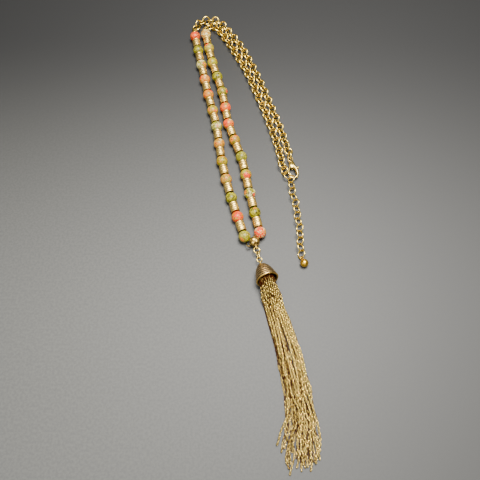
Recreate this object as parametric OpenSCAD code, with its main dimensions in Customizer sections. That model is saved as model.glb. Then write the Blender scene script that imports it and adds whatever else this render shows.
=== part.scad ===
// Tassel necklace, laid out on a flat surface at z = 0.
// Two strands of round stones and cast barrels rise from a junction bead. Each goes on as a run of
// round-link chain, and the two runs meet at a lobster clasp. A chain tassel hangs from the junction bead
// and an extender chain from the clasp. +X is to the right, +Y away from the tassel, +Z up.

/* [Stones] */
// Diameter of a round stone
stone_d = 6; // [5.4:0.1:6.4]
// Hole drilled through each stone
stone_hole = 1; // [0.9:0.05:1.4]
// Play between neighbours on a strand
strand_play = 0.12; // [0.1:0.01:0.2]

/* [Spacers] */
// Length of a barrel spacer
spacer_l = 5.1; // [4.6:0.1:5.4]
// Diameter of a spacer over its rims
spacer_d = 4.4; // [3.8:0.1:4.8]
// Depth of the grooves beside a spacer's band
spacer_groove = 0.25; // [0.1:0.05:0.4]
// Hole through a spacer
spacer_hole = 1.2; // [0.9:0.05:1.5]

/* [Beading wire] */
// Diameter of the beading wire
wire_d = 0.5; // [0.4:0.05:0.6]
// Length of a crimp bead
crimp_l = 1.9; // [1.5:0.1:2.2]
// Diameter of a crimp bead
crimp_d = 2.1; // [1.7:0.1:2.4]
// Diameter of the small crimp beside the junction bead
lower_crimp_d = 1.4; // [1.2:0.1:1.6]
// Mean radius of the loop at the top of each wire
eye_r = 1.1; // [1.05:0.05:1.15]

/* [Neck chain] */
// Outer diameter of a chain link
link_d = 5.2; // [5:0.1:5.4]
// Wire thickness of a chain link
link_wire = 0.9; // [0.8:0.05:0.95]
// Clearance kept between two links
link_gap = 0.17; // [0.15:0.01:0.25]
// Lean of every second link from the flat
link_lean = 42; // [38:1:46]

/* [Clasp] */
// Thickness of the clasp body
clasp_t = 2.3; // [2.2:0.1:2.6]
// Thickness of the hook's round section
hook_t = 1; // [0.9:0.05:1.05]
// Diameter of the clasp's eye
clasp_eye_d = 3.1; // [3:0.1:3.3]
// Hole in the clasp's eye
clasp_eye_hole = 1.8; // [1.7:0.05:1.9]
// Diameter of the lever's pivot pin
pin_d = 0.8; // [0.7:0.05:0.9]
// Radial clearance of the lever on its pin
pin_gap = 0.05; // [0.03:0.01:0.08]
// Thickness of the lever
lever_t = 0.9; // [0.7:0.05:0.95]
// Clearance between the lever and each cheek
lever_gap = 0.1; // [0.08:0.01:0.15]
// Diameter of the thumb knob
knob_d = 1.2; // [1:0.1:1.3]
// Diameter of the ring at the end of the right chain
end_ring_d = 5.4; // [5.3:0.1:5.6]
// Wire thickness of that ring
end_ring_wire = 0.7; // [0.6:0.05:0.75]

/* [Extender] */
// Outer diameter of an extender link
ext_link_d = 4.8; // [4.7:0.1:4.9]
// Wire thickness of an extender link
ext_wire = 0.55; // [0.5:0.05:0.6]
// Number of extender links
ext_count = 13; // [9:1:13]
// Diameter of the end ball
ball_d = 4; // [3.6:0.1:4.4]

/* [Junction and drop] */
// Diameter of the junction bead
junction_d = 4.7; // [4.4:0.1:5]
// Diameter of the grains cast on the junction bead
grain_d = 1.1; // [0.9:0.05:1.2]
// Diameter of the ring that hangs from the junction bead
drop_ring_d = 3.8; // [3.6:0.1:4]
// Wire thickness of that ring
drop_ring_wire = 0.7; // [0.6:0.05:0.75]
// Length of the oval link
oval_l = 4.2; // [4:0.1:4.4]
// Width of the oval link
oval_w = 2.4; // [2.3:0.1:2.6]
// Diameter of the ring on the cap's eye
cap_ring_d = 3; // [2.8:0.1:3.2]
// Wire thickness of the oval link, the ring on the cap's eye and the hanging loops
fine_wire = 0.5; // [0.45:0.05:0.55]
// Clearance between rings that hang in each other
ring_gap = 0.15; // [0.12:0.01:0.2]

/* [Tassel cap] */
// Diameter over the rim
cap_d = 11; // [10.2:0.1:11.4]
// Height of the cap
cap_h = 9.5; // [9:0.1:10]
// Wall of the cap
cap_wall = 0.7; // [0.6:0.05:0.9]
// Hole in the cap's top
cap_hole = 0.9; // [0.8:0.05:1.1]
// Thickness of the rolled rim
rim_t = 0.8; // [0.6:0.05:0.9]
// Ribs round the cap
cap_ribs = 8; // [6:1:10]
// Height of a rib
rib_h = 0.16; // [0.1:0.02:0.2]

/* [Tassel] */
// Reach of the longest strand from the cap's rim
tassel_l = 85; // [75:1:92]
// Width of a strand
strand_w = 1.1; // [0.9:0.05:1.2]
// Width of the tassel where it comes to lie flat
tassel_w = 10.5; // [9:0.1:12]
// Diameter of the head that holds the strands
head_d = 5.6; // [5:0.1:6]

/* [Hidden] */
$fn = 48;
wire_sides = 24;
stone_count = 13;
numbers = [for (i = [1:stone_count]) i];
function two(i) = str(i < 10 ? "0" : "", i);

// Finishes. The stones' tints run from the lowest stone up.
gold = "#c9a24e";
old_gold = "#b08a4a";
champagne = "#d8bd8c";
coral = "#ee6f45";
peach = "#d59a68";
amber = "#c68648";
olive = "#a5a048";
sage = "#a9a878";
left_tints = [olive, coral, olive, peach, olive, amber, sage, olive, amber, amber, peach, sage, coral];
right_tints = [coral, olive, sage, olive, olive, amber, peach, coral, peach, olive, olive, coral, peach];

// Routes on the table, chosen by hand in mm: stones from the lowest up, chains from strand to clasp
left_strand_route = [[-6.6, 0.2], [-11.7, 22.7], [-14.9, 44.9], [-19.9, 66.4], [-24.5, 88.6], [-29.1, 111.5],
    [-30, 120]];
right_strand_route = [[3.1, 1.9], [-1.2, 24.4], [-8.1, 45.1], [-11.9, 68], [-18.2, 90.5], [-22.6, 112.4],
    [-24.6, 119.5]];
left_tail = [[1.2, -25.9], [1.7, -27.2], [2.9, -27.1]];
right_tail = [[8, -23.5], [7.4, -23.9]];
left_chain_route = [[-27.9, 121.1], [-24.9, 124.1], [-21.2, 125.5], [-16.9, 124.9], [-12.8, 121.6],
    [-9.1, 116.2], [-2, 104.8], [3.1, 93.4], [7.7, 81.7], [12.1, 69], [16.1, 56.8], [19.9, 44.4], [22.8, 33],
    [24, 28.2]];
right_chain_route = [[-20.4, 119.9], [-17.8, 119.8], [-15.3, 117.8], [-13.3, 114.8], [-8.1, 106],
    [-0.2, 89.8], [4.1, 78.9], [8.1, 66.9], [12.3, 54.4], [16.8, 38.5], [19.5, 27], [20.2, 20.8]];
left_eye_home = [-29.265, 117.209];  // where the chain routes expect each wire's loop
right_eye_home = [-22.501, 118.541];
lead_points = 5;             // how many points of a chain's route move with that loop
extender_route = [[25, 4.4], [26.5, -3], [27, -10], [27.8, -17], [27.7, -24], [27.9, -31]];
tassel_route = [[13.4, -55], [17.1, -68.5], [20.9, -84], [23.4, -99], [24, -110], [23.4, -128]];

// Places of the main joins
lay_at = [-0.23, 0.72, 0];     // brings the middle of the laid necklace to the origin
junction = [5.1, -24.7, 2.85];
grain_turns = [20, 90, 160, 220, 300];
grain_out = 0.85;            // share of the bead's radius at which its grains sit
grain_low = 0.9;             // how far below its middle they sit
left_first = 151;            // direction from the junction bead to the lowest left stone
right_first = 60;            // direction from the junction bead to the lowest right stone
first_gap = 0.25;            // gap between the junction bead and the lowest stones
drop_turn = -76.5;           // heading of the drop below the junction bead
clasp_at = [24.8, 23.5, 2.2]; // middle of the clasp's eye
clasp_turn = 4;
held_link_at = [24.8, 11.35, 2.05];
held_link_heading = -97;
held_link_lean = 50;
end_ring_at = [23, 13.95, 1.65];
end_ring_heading = -70;
end_ring_lean = -30;
right_chain_end = [22.1, 14.8];
turn_slack = 0.35;           // how much closer the links lie where a chain turns at its strand
turn_links = 6;              // number of links in that turn
left_eye_turn = 45;          // how far each wire's loop turns towards its chain
right_eye_turn = 70;
wire_exit = 0.4;             // straight wire between crimp and loop
floor_gap = 0.02;            // nothing reaches below the surface
end_links = 4;               // number of links at each end of a chain that turn towards what holds them
held_roll = 27;              // how much flatter the first link lies in its wire's loop
left_end_twist = 32;         // how the last links stand up at the clasp
left_end_lift = 0.6;
right_end_twist = 6.5;
right_end_lift = 0.3;
ext_lean = 48;               // lean of every second extender link from the flat
crimp_play = 0.4;            // how much wider a crimp's bore is than its wire
crimp_round = 0.9;           // share of a crimp's diagonal at which its edges are rounded off
ball_sink = 0.1;             // how deep the end weight's loop sits in it
ball_aside = 0.4;            // how far the end weight has rolled to the side

// Vector and route helpers
function unit(v) = v / norm(v);
function flat_dir(a) = [cos(a), sin(a), 0];
function with_z(p, z) = [p.x, p.y, z];
function heading(v) = atan2(v.y, v.x);
function catmull(a, b, c, d, t) = 0.5 * (2 * b + (c - a) * t + (2 * a - 5 * b + 4 * c - d) * t * t
    + (3 * b - a - 3 * c + d) * t * t * t);
function smooth(p, n = 10) = concat(
    [for (i = [0:len(p) - 2]) for (k = [0:n - 1])
        catmull(p[max(i - 1, 0)], p[i], p[i + 1], p[min(i + 2, len(p) - 1)], k / n)],
    [p[len(p) - 1]]);
function lengths(p) = [for (i = 0, s = 0; i < len(p);
    s = s + (i < len(p) - 1 ? norm(p[i + 1] - p[i]) : 0), i = i + 1) s];
function measured(p) = [p, lengths(p)];
function total(m) = m[1][len(m[1]) - 1];
function at(m, s) =
    let (i = max([for (k = [0:len(m[1]) - 2]) if (k == 0 || m[1][k] <= s) k]))
    m[0][i] + (s - m[1][i]) / (m[1][i + 1] - m[1][i]) * (m[0][i + 1] - m[0][i]);
function along(m, s) = unit(at(m, s + 0.3) - at(m, s - 0.3));
function rest_z(d, wire, roll) = (d - wire) / 2 * abs(sin(roll)) + wire / 2 + floor_gap;

// Strands: places and axes of the stones, spacers and crimps
stone_r = stone_d / 2;
pitch = stone_d + spacer_l + 2 * strand_play;
function first_stone(dir) = junction + (junction_d / 2 + stone_r + first_gap) * flat_dir(dir);
function strand(dir, route) = measured(smooth(concat([with_z(first_stone(dir), stone_r)],
    [for (p = route) with_z(p, stone_r)])));
function stones(m) = [for (i = [0:stone_count - 1]) at(m, i * pitch)];
left_stones = stones(strand(left_first, left_strand_route));
right_stones = stones(strand(right_first, right_strand_route));
function stone_axis(p, i) = unit(p[min(i + 1, len(p) - 1)] - p[max(i - 1, 0)]);
function spacer_axis(p, i) = unit(p[i + 1] - p[i]);
function spacer_mid(p, i) = (p[i] + p[i + 1]) / 2;

// Top of a strand: crimp, then the wire's loop, which the first chain link goes through
function top_dir(p) = stone_axis(p, stone_count - 1);
function crimp_mid(p) = p[stone_count - 1] + (stone_r + strand_play + crimp_l / 2) * top_dir(p);
function eye_dir(p, turn) = flat_dir(heading(top_dir(p)) - turn);
function eye_mid(p, turn) = crimp_mid(p) + (crimp_l / 2 + wire_exit) * top_dir(p)
    + (eye_r + wire_d / 2) * eye_dir(p, turn) - [0, 0, eye_r];
function eye_path(p, turn) = [for (a = [90:-28:-190])
    eye_mid(p, turn) + eye_r * (cos(a) * eye_dir(p, turn) + [0, 0, sin(a)])];
left_eye = eye_mid(left_stones, left_eye_turn);
right_eye = eye_mid(right_stones, right_eye_turn);
function bead_ends(c, t, l) = [c - l / 2 * t, c + l / 2 * t];
function wire_path(p, tail, turn) = concat(
    tail,
    bead_ends(p[0], stone_axis(p, 0), stone_d),
    [for (i = [0:stone_count - 2]) each concat(
        bead_ends(spacer_mid(p, i), spacer_axis(p, i), spacer_l),
        bead_ends(p[i + 1], stone_axis(p, i + 1), stone_d))],
    bead_ends(crimp_mid(p), top_dir(p), crimp_l + wire_exit),
    eye_path(p, turn));
function bore_dir(tail) = unit(with_z(tail[len(tail) - 1], junction.z) - junction);
function full_tail(tail) = concat([junction + junction_d / 5 * bore_dir(tail)],
    [for (i = [len(tail) - 1:-1:0]) with_z(tail[i], junction.z)]);

// Chains: an even number of links at an even pitch, every second one turned the other way
link_r = (link_d - link_wire) / 2;
link_pitch = link_d - 2 * link_wire - link_gap;
function chain_run(from, route, to) = measured(smooth([for (p = concat([from], route, [to])) [p.x, p.y]]));
function link_span(m) = total(m) - 2 * link_r + turn_slack * turn_links;
function link_count(m) = 2 * ceil((1 + link_span(m) / link_pitch) / 2);
function link_place(m, k) = link_r + k * link_span(m) / (link_count(m) - 1) - turn_slack * min(k, turn_links);
function led(route, eye, home) = [for (i = [0:len(route) - 1])
    route[i] + max(0, 1 - i / lead_points) * ([eye.x, eye.y] - home)];
left_chain_run = chain_run(left_eye, led(left_chain_route, left_eye, left_eye_home), clasp_at);
right_chain_run = chain_run(right_eye, led(right_chain_route, right_eye, right_eye_home), right_chain_end);
link_rest = rest_z(link_d, link_wire, link_lean);

// Extender: the first link is held by the hook
ext_r = (ext_link_d - ext_wire) / 2;
ext_pitch = ext_link_d - 2 * ext_wire - link_gap;
hook_mid = [0.4, -8.9];
hook_r = 2.4;
ext_run = measured(smooth(concat([[held_link_at.x, held_link_at.y]], extender_route)));
ext_last = (ext_count - 1) * ext_pitch;
ext_rest = rest_z(ext_link_d, ext_wire, ext_lean);
function ext_roll(k) = k == 0 ? held_link_lean : k % 2 == 0 ? ext_lean : ext_lean - 90;

// Tassel cap: its axis rises towards the rim, because the bell lies on its side
rim_r = cap_d / 2;
cap_pitch = 15.5;
cap_turn = -72;
cap_axis = [cos(cap_turn) * cos(cap_pitch), sin(cap_turn) * cos(cap_pitch), sin(cap_pitch)];
cap_side = [-sin(cap_turn), cos(cap_turn), 0];
cap_up = cross(cap_axis, cap_side) * -1;
cap_top_z = rim_r * cos(cap_pitch) - (cap_h - rim_t / 2) * sin(cap_pitch) + floor_gap;

// Drop: each ring hangs in the one before, from the junction bead down to the cap's eye
loop_r = 0.85;
loop_neck = 0.45;            // from a loop's underside to what carries it
loop_sink = 0.15;            // how deep the junction bead's loop sits in it
ring_r = (drop_ring_d - drop_ring_wire) / 2;
oval_r = (oval_w - fine_wire) / 2;
oval_half = (oval_l - oval_w) / 2;
cap_ring_r = (cap_ring_d - fine_wire) / 2;
junction_loop_s = junction_d / 2 + loop_r - loop_sink;
ring_s = junction_loop_s + loop_r - fine_wire / 2 - ring_gap - drop_ring_wire / 2 + ring_r;
oval_s = ring_s + ring_r - drop_ring_wire / 2 - ring_gap + oval_half + oval_r - fine_wire / 2;
cap_ring_s = oval_s + oval_half + oval_r - ring_gap - fine_wire + cap_ring_r;
cap_eye_s = cap_ring_s + cap_ring_r - fine_wire / 2 - ring_gap + loop_r - fine_wire / 2;
cap_eye_z = cap_top_z - (loop_r + loop_neck) * sin(cap_pitch);
drop_rise = asin((cap_eye_z - junction.z) / cap_eye_s);
drop_dir = [cos(drop_turn) * cos(drop_rise), sin(drop_turn) * cos(drop_rise), sin(drop_rise)];
function drop_at(s) = junction + s * drop_dir;
cap_top = drop_at(cap_eye_s) + (loop_r + loop_neck) * cap_axis;
function cap_point(depth, r, angle) = cap_top + depth * cap_axis + r * (cos(angle) * cap_side
    + sin(angle) * cap_up);

// Share of the rim's radius at a share of the cap's height
bell = [[0, 0.2], [0.06, 0.34], [0.16, 0.5], [0.3, 0.65], [0.46, 0.77], [0.62, 0.86], [0.78, 0.93], [0.9, 0.985],
    [1, 1]];
bell_line = smooth(bell, 6);
function bell_share(s) = lookup(s, [for (p = bell_line) [p.x, p.y]]);

// Clasp, in its own plane: x towards the spine, y towards the eye, origin at the eye
spine_r = 7.75;              // mean radius of the spine's and the gate's long arcs
spine_sweep = 33;
spine_mid = [hook_mid.x + hook_r - spine_r, hook_mid.y];
gate_mid = [hook_mid.x - hook_r + spine_r, hook_mid.y];
pivot = [0.35, -3.9];
hub_r = 1.1;
knob_mid = [3.35, -5.3];
body_r = 2;                  // half the width of the belly
slot_t = lever_t + 2 * lever_gap;
slot_mid = pivot + [0.5, -0.4];
slot_size = [7, 3.4];        // across the belly and along it

module ring(d, wire) {
    rotate_extrude() translate([(d - wire) / 2, 0]) circle(d = wire, $fn = wire_sides);
}

// A ring at p whose plane holds the heading dir and leans by roll
module laid_ring(d, wire, p, dir, roll) {
    translate(p) rotate([0, 0, heading(dir)]) rotate([roll, 0, 0]) ring(d, wire);
}

// A frame at p with its z axis along dir
module aim(p, dir) {
    translate(p) rotate([0, acos(dir.z / norm(dir)), heading(dir)]) children();
}

// Round bar swept along a path of points, closed at both ends
function across(path) = [for (i = [0:len(path) - 1])
    let (t = unit(path[min(i + 1, len(path) - 1)] - path[max(i - 1, 0)]),
        flat = norm([t.x, t.y]) < 0.2 ? path[i] - path[max(i - 4, 0)] : t,
        h = unit([-flat.y, flat.x, 0]))
    [h, cross(t, h)]];
module sweep(path, d, sides) {
    frames = across(path);
    n = len(path);
    points = [for (i = [0:n - 1]) for (k = [0:sides - 1])
        path[i] + d / 2 * (cos(360 * k / sides) * frames[i][0] + sin(360 * k / sides) * frames[i][1])];
    faces = concat(
        [[for (k = [0:sides - 1]) k]],
        [for (i = [0:n - 2]) for (k = [0:sides - 1])
            let (a = i * sides + k, b = i * sides + (k + 1) % sides) [a, a + sides, b + sides, b]],
        [[for (k = [sides - 1:-1:0]) (n - 1) * sides + k]]);
    polyhedron(points, faces, convexity = 10);
}

module stone(c, axis, tint) {
    color(tint) difference() {
        translate(c) sphere(d = stone_d);
        aim(c - stone_d * axis, axis) cylinder(d = stone_hole, h = 2 * stone_d);
    }
}

// A barrel with a rolled rim at each end and a band round its middle
module spacer(c, axis) {
    r = spacer_d / 2;
    low = r - spacer_groove;
    half = spacer_l / 2;
    bevel = 0.25;
    rim = 0.7;
    band = 0.75;
    color(champagne) aim(c, axis) difference() {
        rotate_extrude() polygon([[0, -half], [r - bevel, -half], [r, bevel - half], [r, rim - half],
            [low, rim + bevel - half], [low, -band - bevel], [r - 0.08, -band], [r - 0.08, band],
            [low, band + bevel], [low, half - rim - bevel], [r, half - rim], [r, half - bevel],
            [r - bevel, half], [0, half]]);
        cylinder(d = spacer_hole, h = 2 * spacer_l, center = true);
    }
}

module spacers(p) {
    for (i = [0:stone_count - 2]) spacer(spacer_mid(p, i), spacer_axis(p, i));
}

module crimp(c, axis, d, l) {
    color(gold) aim(c, axis) difference() {
        intersection() {
            cylinder(d = d, h = l, center = true);
            sphere(d = norm([d, l]) * crimp_round);
        }
        cylinder(d = wire_d + crimp_play, h = 2 * l, center = true);
    }
}

module wire(p, tail, turn) {
    color(gold) sweep(wire_path(p, full_tail(tail), turn), wire_d, 8);
}

// The first links lie flatter where the wire's loop holds them. The last stand up by end_twist and end_lift.
module neck_chain(m, start_z, end_twist, end_lift) {
    n = link_count(m);
    color(gold) for (k = [0:n - 1]) {
        s = link_place(m, k);
        start = max(0, 1 - k / end_links);
        end = max(0, 1 - (n - 1 - k) / end_links);
        roll = (k % 2 == 0 ? -link_lean : 90 - link_lean) + held_roll * start + end_twist * end;
        z = max(rest_z(link_d, link_wire, roll), k == 0 ? start_z : link_rest + end_lift * end);
        laid_ring(link_d, link_wire, with_z(at(m, s), z), along(m, s), roll);
    }
}

module end_ring() {
    color(gold) laid_ring(end_ring_d, end_ring_wire, end_ring_at, flat_dir(end_ring_heading), end_ring_lean);
}

module extender_chain() {
    color(gold) for (k = [0:ext_count - 1]) {
        laid_ring(ext_link_d, ext_wire,
            with_z(at(ext_run, k * ext_pitch), k == 0 ? held_link_at.z : ext_rest),
            k == 0 ? flat_dir(held_link_heading) : along(ext_run, k * ext_pitch), ext_roll(k));
    }
}

// The ball's loop is turned across the last link
module extender_ball() {
    last = with_z(at(ext_run, ext_last), ext_rest);
    dir = with_z(along(ext_run, ext_last), 0);
    loop = last + (ext_r - ext_wire / 2 - ring_gap + loop_r - fine_wire / 2) * dir;
    color(gold) union() {
        translate(with_z(loop + (loop_r + ball_d / 2 - ball_sink) * unit(dir + [ball_aside, 0, 0]),
            ball_d / 2 + floor_gap)) sphere(d = ball_d);
        laid_ring(2 * loop_r + fine_wire, fine_wire, loop, dir, ext_roll(ext_count));
    }
}

module junction_bead() {
    color(champagne) difference() {
        union() {
            translate(junction) sphere(d = junction_d);
            for (a = grain_turns) aim(junction, drop_dir) rotate([0, 0, a])
                translate([grain_out * junction_d / 2, 0, grain_low]) sphere(d = grain_d);
            laid_ring(2 * loop_r + fine_wire, fine_wire, drop_at(junction_loop_s), drop_dir, 90);
        }
        for (tail = [left_tail, right_tail])
            aim(junction + 0.6 * bore_dir(tail), bore_dir(tail)) cylinder(d = stone_hole, h = junction_d);
    }
}

module drop_ring() {
    color(gold) laid_ring(drop_ring_d, drop_ring_wire, drop_at(ring_s), drop_dir, -20);
}

module drop_link() {
    color(gold) translate(drop_at(oval_s)) rotate([0, 0, heading(drop_dir)]) rotate([70, 0, 0]) union() {
        for (side = [0, 180]) rotate([0, 0, side]) {
            translate([oval_half, 0, 0]) rotate([0, 0, -90]) rotate_extrude(angle = 180)
                translate([oval_r, 0]) circle(d = fine_wire, $fn = wire_sides);
            translate([0, oval_r, 0]) rotate([0, 90, 0])
                cylinder(d = fine_wire, h = 2 * oval_half, center = true, $fn = wire_sides);
        }
    }
}

module cap_ring() {
    color(gold) laid_ring(cap_ring_d, fine_wire, drop_at(cap_ring_s), drop_dir, -20);
}

// Drawn with z along the cap's axis, from its top towards the rim
module cap_frame() {
    translate(cap_top) rotate([0, 0, cap_turn]) rotate([0, 90 - cap_pitch, 0]) children();
}

// The eye's stem runs through the hole in the cap's top and spreads over the tassel's head
head_top = 2.4;
module cap_eye() {
    stem_d = fine_wire + 0.1;
    foot_t = 0.5;
    color(gold) cap_frame() union() {
        translate([0, 0, -loop_r - loop_neck]) rotate([90, 0, 0]) ring(2 * loop_r + fine_wire, fine_wire);
        translate([0, 0, -loop_neck - 0.2]) cylinder(d = stem_d, h = head_top + loop_neck - foot_t);
        translate([0, 0, head_top - 0.2 - foot_t]) cylinder(d = 2, h = foot_t);
    }
}

// Outline of the bell, with ribs between a tenth and nine tenths of its height
function rib_at(s) = s > 0.1 && s < 0.9 ? rib_h * (0.5 - 0.5 * cos(360 * cap_ribs * (s - 0.1) / 0.8)) : 0;
function cap_line(inset, ribs) = [for (k = [0:48]) let (s = k / 48)
    [(rim_r - rim_t / 2) * bell_share(s) - inset + (ribs ? rib_at(s) : 0), s * (cap_h - rim_t / 2)]];

module tassel_cap() {
    top_t = cap_wall + 0.2;
    edge = cap_h - rim_t / 2;
    inner = [for (p = cap_line(cap_wall, false)) if (p.y > top_t + 0.1) p];
    color(old_gold) cap_frame() difference() {
        union() {
            rotate_extrude() polygon(concat([[0, 0]], cap_line(0, true), [[0, edge]]));
            translate([0, 0, edge]) rotate_extrude() translate([rim_r - rim_t / 2, 0])
                circle(d = rim_t, $fn = wire_sides);
        }
        rotate_extrude() polygon(concat([[0, top_t], [inner[0].x - 0.1, top_t]], inner,
            [[inner[len(inner) - 1].x, cap_h + 1], [0, cap_h + 1]]));
        translate([0, 0, -1]) cylinder(d = cap_hole, h = cap_h);
    }
}

// Clasp parts are drawn flat about the eye and then laid in place
module clasp_frame() {
    translate(clasp_at) rotate([0, 0, clasp_turn]) children();
}

module arc_bar(mid, r, from, sweep) {
    translate([mid.x, mid.y, 0]) rotate([0, 0, from]) rotate_extrude(angle = sweep) translate([r, 0]) children();
}

module clasp_body() {
    eye_t = 1;
    belly = [[0, 1.1], [0.8, 1.2], [1.5, 2.1], [body_r, 3.2], [body_r, 4.2], [1.7, 4.8], [0.9, 5.1], [0, 5.1]];
    color(gold) clasp_frame() union() {
        difference() {
            union() {
                // eye and belly
                cylinder(d = clasp_eye_d, h = eye_t, center = true);
                intersection() {
                    translate([pivot.x, 0, 0]) rotate([90, 0, 0]) rotate_extrude() polygon(belly);
                    translate([pivot.x, -3, 0]) cube([2 * body_r + 1, 6, clasp_t], center = true);
                }
                // spine, forked where the lever's thumb arm passes through
                arc_bar(spine_mid, spine_r, 10, spine_sweep - 10) union() {
                    square([hook_t, hook_t], center = true);
                    for (side = [-1, 1]) translate([0, side * hook_t / 2]) circle(d = hook_t, $fn = wire_sides);
                }
                arc_bar(spine_mid, spine_r, 0, 14) circle(d = hook_t, $fn = wire_sides);
            }
            cylinder(d = clasp_eye_hole, h = 4, center = true);
            translate([slot_mid.x, slot_mid.y, 0]) cube([slot_size.x, slot_size.y, slot_t], center = true);
        }
        // hook and pivot pin
        arc_bar(hook_mid, hook_r, 196, 168) circle(d = hook_t, $fn = wire_sides);
        translate([pivot.x, pivot.y, 0]) cylinder(d = pin_d, h = clasp_t + 0.2, center = true);
    }
}

// Rests closed; its gate swings inwards about the pin
module clasp_lever() {
    arm_w = 0.7;
    color(gold) clasp_frame() difference() {
        union() {
            translate([pivot.x, pivot.y, 0]) cylinder(r = hub_r, h = lever_t, center = true);
            arc_bar(gate_mid, spine_r, 139, 41.7) circle(d = lever_t, $fn = wire_sides);
            translate([pivot.x, pivot.y, 0]) rotate([0, 0, heading(knob_mid - pivot)])
                translate([0, -arm_w / 2, -lever_t / 2]) cube([norm(knob_mid - pivot), arm_w, lever_t]);
            translate([knob_mid.x, knob_mid.y, 0]) sphere(d = knob_d);
        }
        translate([pivot.x, pivot.y, 0]) cylinder(d = pin_d + 2 * pin_gap, h = 4, center = true);
    }
}

// Tassel strands, one row each: angle and share of the radius in the cap, then shares of the half width:
// where the strand comes to lie flat, halfway, and at its tip, with its layer and its reach as a share
//   angle radius flat   layer half   tip    reach
strands = [
    [192, 1.0, -0.95, 0, -0.92, -1.15, 0.92], [206, 0.95, -0.75, 0.06, -0.80, -0.85, 0.86],
    [220, 1.0, -0.55, 0.02, -0.55, -0.50, 0.94], [236, 0.95, -0.33, 0.08, -0.40, -0.55, 0.99],
    [252, 1.0, -0.12, 0.04, -0.10, -0.20, 0.92], [268, 0.95, 0.10, 0.1, 0.15, 0.10, 0.96],
    [284, 1.0, 0.30, 0.02, 0.30, 0.35, 0.95], [300, 0.95, 0.52, 0.08, 0.45, 0.65, 0.98],
    [316, 1.0, 0.74, 0, 0.75, 0.80, 0.94], [332, 0.95, 0.95, 0.06, 0.95, 1.00, 0.90],
    [178, 0.95, -0.86, 0.95, -0.70, -0.95, 0.96], [200, 0.6, -0.64, 1.01, -0.65, -0.40, 0.90],
    [225, 0.6, -0.43, 0.97, -0.20, -0.75, 1.00], [250, 0.6, -0.22, 1.03, -0.35, 0.00, 0.95],
    [275, 0.6, 0.00, 0.99, 0.05, -0.30, 0.90], [306, 0.6, 0.21, 1.05, 0.35, 0.20, 0.99],
    [325, 0.6, 0.42, 0.97, 0.25, 0.50, 0.91], [348, 0.7, 0.63, 1.03, 0.65, 0.55, 0.96],
    [350, 1.0, 0.84, 0.99, 0.85, 1.15, 0.93], [164, 0.8, -0.70, 1.9, -0.50, -1.30, 0.87],
    [150, 0.5, -0.40, 1.96, -0.50, -0.10, 0.94], [110, 0.3, -0.10, 1.92, -0.20, 0.30, 0.90],
    [70, 0.25, 0.16, 1.98, 0.10, 0.00, 0.97], [30, 0.4, 0.40, 1.94, 0.50, 0.75, 0.95],
    [10, 0.6, 0.66, 2, 0.60, 1.30, 0.85]];
flat_share = 0.2;            // share of its reach at which the tassel has come down to the table
spread = 1.16;               // how much wider the tassel is at its tips
mouth = cap_point(cap_h, 0, 0);
tassel_run = measured(smooth(concat([[mouth.x, mouth.y]], tassel_route)));
mouth_r = rim_r - rim_t - strand_w / 2 - 0.45;
function in_head(row) = cap_point(head_top + 0.45 * head_d, row[1] * (head_d - strand_w) / 2 * 0.8, row[0]);
function in_mouth(row) = cap_point(cap_h - 0.6, row[1] * mouth_r, row[0])
    - 0.2 * mouth_r * row[1] * max(0, cos(row[0])) * cap_side;
function on_table(s, side, layer) = let (d = along(tassel_run, s * tassel_l),
    c = at(tassel_run, s * tassel_l) + side * tassel_w / 2 * [-d.y, d.x])
    [c.x, c.y, strand_w * (0.5 + layer) + floor_gap];
function strand_path(row) = let (from = in_mouth(row), to = on_table(flat_share, row[2], row[3]))
    [for (p = smooth([
        in_head(row), from, from + (to - from) * 0.25, from + (to - from) * 0.6, to,
        on_table((flat_share + 0.5) / 2, (row[2] + row[4]) / 2, row[3]),
        on_table(0.5, row[4], row[3] * 0.9),
        on_table(0.78, (row[4] + row[5]) / 2, row[3] * 0.7),
        on_table(row[6], row[5] * spread, row[3] * 0.3)], 2))
        with_z(p, max(p.z, strand_w * (0.5 + 0.3 * row[3]) + floor_gap))];

module tassel() {
    color(gold) union() {
        hull() for (depth = [0.375, 0.6]) translate(cap_point(head_top + depth * head_d, 0, 0))
            sphere(d = head_d * 0.75, $fn = 16);
        for (row = strands) {
            path = strand_path(row);
            tip = path[len(path) - 1];
            sweep(path, strand_w, 5);
            hull() for (k = [0, 0.2]) translate(tip + k * unit(tip - path[len(path) - 2]))
                sphere(d = strand_w * 0.94, $fn = 6);
        }
    }
}

module lay() {
    translate(lay_at) children();
}

for (i = numbers) {
    lay() stone(left_stones[i - 1], stone_axis(left_stones, i - 1), left_tints[i - 1]);
    lay() stone(right_stones[i - 1], stone_axis(right_stones, i - 1), right_tints[i - 1]);
}
lay() spacers(left_stones);  // left_spacers
lay() spacers(right_stones);  // right_spacers
lay() wire(left_stones, left_tail, left_eye_turn);  // left_wire
lay() wire(right_stones, right_tail, right_eye_turn);  // right_wire
lay() crimp(crimp_mid(left_stones), top_dir(left_stones), crimp_d, crimp_l);  // left_crimp
lay() crimp(crimp_mid(right_stones), top_dir(right_stones), crimp_d, crimp_l);  // right_crimp
lay() crimp(with_z((left_tail[1] + left_tail[2]) / 2, junction.z), with_z(left_tail[2] - left_tail[1], 0),  // lower_crimp
        lower_crimp_d, 0.7 * norm(left_tail[2] - left_tail[1]));
lay() junction_bead();
lay() drop_ring();
lay() drop_link();
lay() cap_ring();
lay() cap_eye();
lay() tassel_cap();
lay() tassel();
lay() neck_chain(left_chain_run, left_eye.z, left_end_twist, left_end_lift);  // left_chain
lay() neck_chain(right_chain_run, right_eye.z, right_end_twist, right_end_lift);  // right_chain
lay() end_ring();
lay() clasp_body();
lay() clasp_lever();
lay() extender_chain();
lay() extender_ball();
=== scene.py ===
import math

import bmesh
import bpy
import numpy as np
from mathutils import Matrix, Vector, noise


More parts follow.
